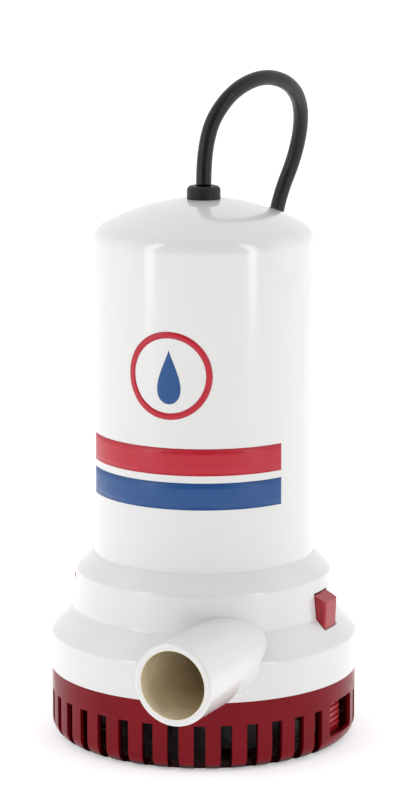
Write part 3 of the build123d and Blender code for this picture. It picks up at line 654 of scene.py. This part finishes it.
def live_spring(end, side, material):
    """A brush spring copied into a piece of its own, in place of its CAD node."""
    node, joint = f"brush_spring_{end}", f"brush_slide_{end}"
    low, high = (Vector(corner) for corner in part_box(node))
    seat = (low + high) / 2
    seat.y = high.y if side > 0 else low.y
    piece = bpy.data.objects.new("spring", frame["nodes"][node].data.copy())
    bpy.context.scene.collection.objects.link(piece)
    pick(piece)
    merge_doubles()
    settle(piece, f"live_spring_{end}", material)
    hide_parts(node)
    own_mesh(piece)


class BILGEPUMP_OT_motor(bpy.types.Operator):
    """Finish the motor, its brushes and its windings."""

    bl_idname = "bilge_pump.motor"
    bl_label = "Motor"

    def execute(self, context):
        paint_node("motor_shaft", metal("ground_shaft", (0.68, 0.67, 0.66), 0.16, (1, 1, 30)))
        paint_node("motor_can", metal("zinc_can", (0.60, 0.61, 0.64), 0.34, (6, 6, 1)))
        paint_node("armature_core", laminations())
        paint_node("armature_windings", windings())
        paint_node("commutator", metal("commutator_copper", (0.78, 0.38, 0.22), 0.25, (1, 1, 20)))
        bush = metal("sintered_bronze", (0.56, 0.38, 0.20), 0.5, (1, 1, 1), 900.0)
        brass = metal("holder_brass", (0.70, 0.52, 0.24), 0.3)
        spring = metal("spring_steel", (0.55, 0.55, 0.56), 0.3)
        ferrite = moulded("ferrite", (0.035, 0.035, 0.038), 0.6, 600.0, 0.08 * MM, 0.7)
        carbon = moulded("brush_carbon", (0.025, 0.025, 0.027), 0.5, 1500.0, 0.05 * MM, 0.7)
        for node in ("lower_bearing", "upper_bearing"):
            paint_node(node, bush)
        for node in ("magnet_right", "magnet_left"):
            paint_node(node, ferrite)
        for end in ("front", "rear"):
            paint_node(f"brush_holder_{end}", brass)
            paint_node(f"brush_{end}", carbon)
        live_spring("front", -1, spring)
        live_spring("rear", 1, spring)
        paint_node("end_bell", moulded("end_bell_black", (0.025, 0.025, 0.027), 0.45))
        paint_node("brush_card", moulded("card_phenolic", (0.16, 0.085, 0.035), 0.5, wear=0.8))
        return {"FINISHED"}


def laminations():
    """Stacked sheet steel: fine rings along the axis."""
    material, tree, shader, place = new_material("laminated_steel")
    shader.inputs["Metallic"].default_value = 1.0
    split = tree.nodes.new("ShaderNodeSeparateXYZ")
    link(tree, place, split.inputs["Vector"])
    sheet = 0.5 * MM
    wave = maths(tree, "SINE", maths(tree, "MULTIPLY", split.outputs["Z"], 2 * math.pi / sheet))
    edge = remap(tree, wave, -1.0, 1.0, 0.0, 1.0)
    link(tree, mix_colour(tree, edge, (0.13, 0.125, 0.12), (0.36, 0.35, 0.34)), shader.inputs["Base Color"])
    link(tree, remap(tree, noise(tree, place, 200.0), 0.3, 0.7, 0.35, 0.55), shader.inputs["Roughness"])
    bump(tree, shader, edge, 0.06 * MM, 0.6)
    return material


def windings():
    """Enamelled wire: fine strands that run along the slots."""
    material, tree, shader, place = new_material("enamelled_wire")
    shader.inputs["Metallic"].default_value = 1.0
    strand = noise(tree, place, 1500.0, 2.0, (1.0, 1.0, 0.12))
    link(tree, mix_colour(tree, strand, (0.30, 0.07, 0.02), (0.80, 0.33, 0.12)), shader.inputs["Base Color"])
    link(tree, remap(tree, strand, 0.3, 0.7, 0.22, 0.4), shader.inputs["Roughness"])
    bump(tree, shader, strand, 0.25 * MM, 0.8)
    return material


def circuit_board():
    """Green solder mask with broad copper areas showing through."""
    material, tree, shader, place = new_material("board_green")
    cells = add_node(tree, "ShaderNodeTexVoronoi", Scale=190.0)
    cells.distance = "MANHATTAN"
    cells.feature = "DISTANCE_TO_EDGE"
    link(tree, place, cells.inputs["Vector"])
    track = remap(tree, cells.outputs["Distance"], 0.08, 0.12, 0.0, 1.0)
    link(tree, mix_colour(tree, track, (0.012, 0.10, 0.035), (0.02, 0.19, 0.07)), shader.inputs["Base Color"])
    link(tree, remap(tree, track, 0.0, 1.0, 0.4, 0.25), shader.inputs["Roughness"])
    bump(tree, shader, track, 0.04 * MM, 0.6)
    return material


class BILGEPUMP_OT_board(bpy.types.Operator):
    """Finish the control board and its wiring."""

    bl_idname = "bilge_pump.board"
    bl_label = "Control board"

    def execute(self, context):
        paint_node("control_board", circuit_board())
        paint_node("board_standoffs", metal("standoff_brass", (0.70, 0.52, 0.24), 0.28))
        paint_node("power_relay", moulded("relay_case", (0.02, 0.05, 0.12), 0.35))
        paint_node("filter_capacitor", moulded("capacitor_sleeve", (0.03, 0.04, 0.10), 0.3))
        paint_node("control_chip", moulded("chip_epoxy", (0.02, 0.02, 0.02), 0.55))
        paint_node("choke_coil", windings())
        paint_node("supply_leads", rubber("supply_insulation", (0.10, 0.035, 0.012), 0.4))
        paint_node("motor_leads", rubber("motor_insulation", (0.35, 0.012, 0.012), 0.4))
        return {"FINISHED"}


def striped_lead():
    """Brown insulation with a white tracer along it."""
    material, tree, shader, place = new_material("lead_brown_white")
    split = tree.nodes.new("ShaderNodeSeparateXYZ")
    link(tree, place, split.inputs["Vector"])
    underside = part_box("lead_striped")[0][2]
    stripe = remap(tree, split.outputs["Z"], underside + 1.15 * MM, underside + 1.3 * MM, 0.0, 1.0)
    link(tree, mix_colour(tree, stripe, (0.10, 0.035, 0.012), (0.7, 0.7, 0.68)), shader.inputs["Base Color"])
    link(tree, remap(tree, noise(tree, place, 200.0), 0.3, 0.7, 0.3, 0.5), shader.inputs["Roughness"])
    bump(tree, shader, noise(tree, place, 1400.0, 2.0), 0.03 * MM, 0.4)
    return material


class BILGEPUMP_OT_cord_parts(bpy.types.Operator):
    """Finish the gland, the cord's inner end and its stripped leads."""

    bl_idname = "bilge_pump.cord_parts"
    bl_label = "Cord parts"

    def execute(self, context):
        jacket = tuple(context.scene.pump_colours.jacket)
        paint_node("cord_gland", rubber("gland_rubber", jacket, 0.48, 1100.0))
        for node in ("cord_inner_end", "power_cord", "cord_coil", "cord_tail"):
            paint_node(node, rubber(f"{node}_skin", jacket, 0.4))
        paint_node("lead_brown", rubber("lead_insulation_brown", (0.10, 0.035, 0.012), 0.4))
        paint_node("lead_striped", striped_lead())
        paint_node("lead_black", rubber("lead_insulation_black", jacket, 0.4))
        return {"FINISHED"}


# ---------------------------------------------------------------- stage
def area_light(name, place, target, size, energy, colour=(1, 1, 1)):
    data = bpy.data.lights.new(name, "AREA")
    data.shape = "RECTANGLE"
    data.size, data.size_y = size
    data.energy = energy
    data.color = colour
    lamp = bpy.data.objects.new(name, data)
    bpy.context.scene.collection.objects.link(lamp)
    lamp.location = place
    lamp.rotation_euler = (Vector(target) - Vector(place)).to_track_quat("-Z", "Y").to_euler()
    return lamp


def seen_from(azimuth, distance, height, sideways=0.0):
    """A place at a distance in front of the pump, as the camera faces it."""
    x = math.sin(azimuth) * distance + math.cos(azimuth) * sideways
    y = -math.cos(azimuth) * distance + math.sin(azimuth) * sideways
    return Vector((x, y, height))


def tent():
    """A white light tent, open and dimmer on the camera's side."""
    world = bpy.data.worlds.new("studio")
    world.use_nodes = True
    tree = world.node_tree
    sky = tree.nodes["Background"]
    place = tree.nodes.new("ShaderNodeTexCoord")
    towards = tree.nodes.new("ShaderNodeVectorMath")
    towards.operation = "DOT_PRODUCT"
    towards.inputs[1].default_value = seen_from(VIEW_AZIMUTH, 1.0, 0.0)
    link(tree, place.outputs["Generated"], towards.inputs[0])
    link(tree, remap(tree, towards.outputs["Value"], -0.2, 0.95, 1.0, 0.22), sky.inputs["Strength"])
    sky.inputs["Color"].default_value = (1.0, 1.0, 1.0, 1.0)
    return world


class BILGEPUMP_OT_stage(bpy.types.Operator):
    """Set the pale floor, the soft light and the camera."""

    bl_idname = "bilge_pump.stage"
    bl_label = "Stage"

    def execute(self, context):
        deselect()
        bpy.ops.mesh.primitive_plane_add(size=8.0)
        floor = context.object
        floor.name = "floor"
        pale, tree, shader, place = new_material("floor_pale")
        tone = remap(tree, noise(tree, place, 3.0), 0.3, 0.7, 0.0, 1.0)
        greyer, whiter = (0.90, 0.90, 0.90), (0.92, 0.92, 0.92)
        link(tree, mix_colour(tree, tone, greyer, whiter), shader.inputs["Base Color"])
        shader.inputs["Roughness"].default_value = 0.9
        shader.inputs["Specular IOR Level"].default_value = 0.1
        shader.inputs["Emission Color"].default_value = (1.0, 1.0, 1.0, 1.0)
        shader.inputs["Emission Strength"].default_value = 0.4
        floor.data.materials.append(pale)
        context.scene.world = tent()
        context.scene.view_settings.view_transform = "Standard"
        middle = (0, 0, 120 * MM)
        for name, turn, distance, height, size, energy in (
                ("right_strip", 51, 1.0, 0.45, (0.17, 1.3), 2.3),
                ("left_strip", -57, 1.0, 0.45, (0.20, 1.3), 2.4),
                ("right_softbox", 92, 0.9, 0.5, (0.7, 1.0), 0.7),
                ("left_softbox", -80, 0.9, 0.5, (0.7, 1.0), 0.9)):
            azimuth = VIEW_AZIMUTH + math.radians(turn)
            area_light(name, seen_from(azimuth, distance, height), middle, size, energy)
        data = bpy.data.cameras.new("camera")
        data.lens = 140.3
        data.sensor_width = 36.0
        data.clip_start = 0.05
        camera = bpy.data.objects.new("camera", data)
        context.scene.collection.objects.link(camera)
        distance, height, sideways = 1.1, 0.337, -1.3 * MM
        looks_down = 11.05
        camera.location = seen_from(VIEW_AZIMUTH, distance, height, sideways)
        camera.rotation_euler = (math.radians(90 - looks_down), 0, VIEW_AZIMUTH)
        context.scene.camera = camera
        return {"FINISHED"}


# ---------------------------------------------------------------- panel and registration
OPERATORS = (BILGEPUMP_OT_cord, BILGEPUMP_OT_bands, BILGEPUMP_OT_badge, BILGEPUMP_OT_mouldings,
             BILGEPUMP_OT_pump_end, BILGEPUMP_OT_motor, BILGEPUMP_OT_board,
             BILGEPUMP_OT_cord_parts, BILGEPUMP_OT_stage)


class VIEW3D_PT_bilge_pump(bpy.types.Panel):
    """Lists the steps that finish the pump."""

    bl_label = "Bilge Pump"
    bl_idname = "VIEW3D_PT_bilge_pump"
    bl_space_type = "VIEW_3D"
    bl_region_type = "UI"
    bl_category = "Bilge Pump"

    def draw(self, context):
        for operator in OPERATORS:
            self.layout.operator(operator.bl_idname)
        for group in (context.scene.pump_sizes, context.scene.pump_colours):
            for name in group.__annotations__:
                self.layout.prop(group, name)


CLASSES = (PumpSizes, PumpColours, *OPERATORS, VIEW3D_PT_bilge_pump)


def register():
    for cls in CLASSES:
        bpy.utils.register_class(cls)
    bpy.types.Scene.pump_sizes = bpy.props.PointerProperty(type=PumpSizes)
    bpy.types.Scene.pump_colours = bpy.props.PointerProperty(type=PumpColours)


def unregister():
    del bpy.types.Scene.pump_colours
    del bpy.types.Scene.pump_sizes
    for cls in reversed(CLASSES):
        bpy.utils.unregister_class(cls)


def main():
    register()
    bpy.ops.bilge_pump.cord()
    bpy.ops.bilge_pump.bands()
    bpy.ops.bilge_pump.badge()
    bpy.ops.bilge_pump.mouldings()
    bpy.ops.bilge_pump.pump_end()
    bpy.ops.bilge_pump.motor()
    bpy.ops.bilge_pump.board()
    bpy.ops.bilge_pump.cord_parts()
    bpy.ops.bilge_pump.stage()


if __name__ == "__main__":
    main()
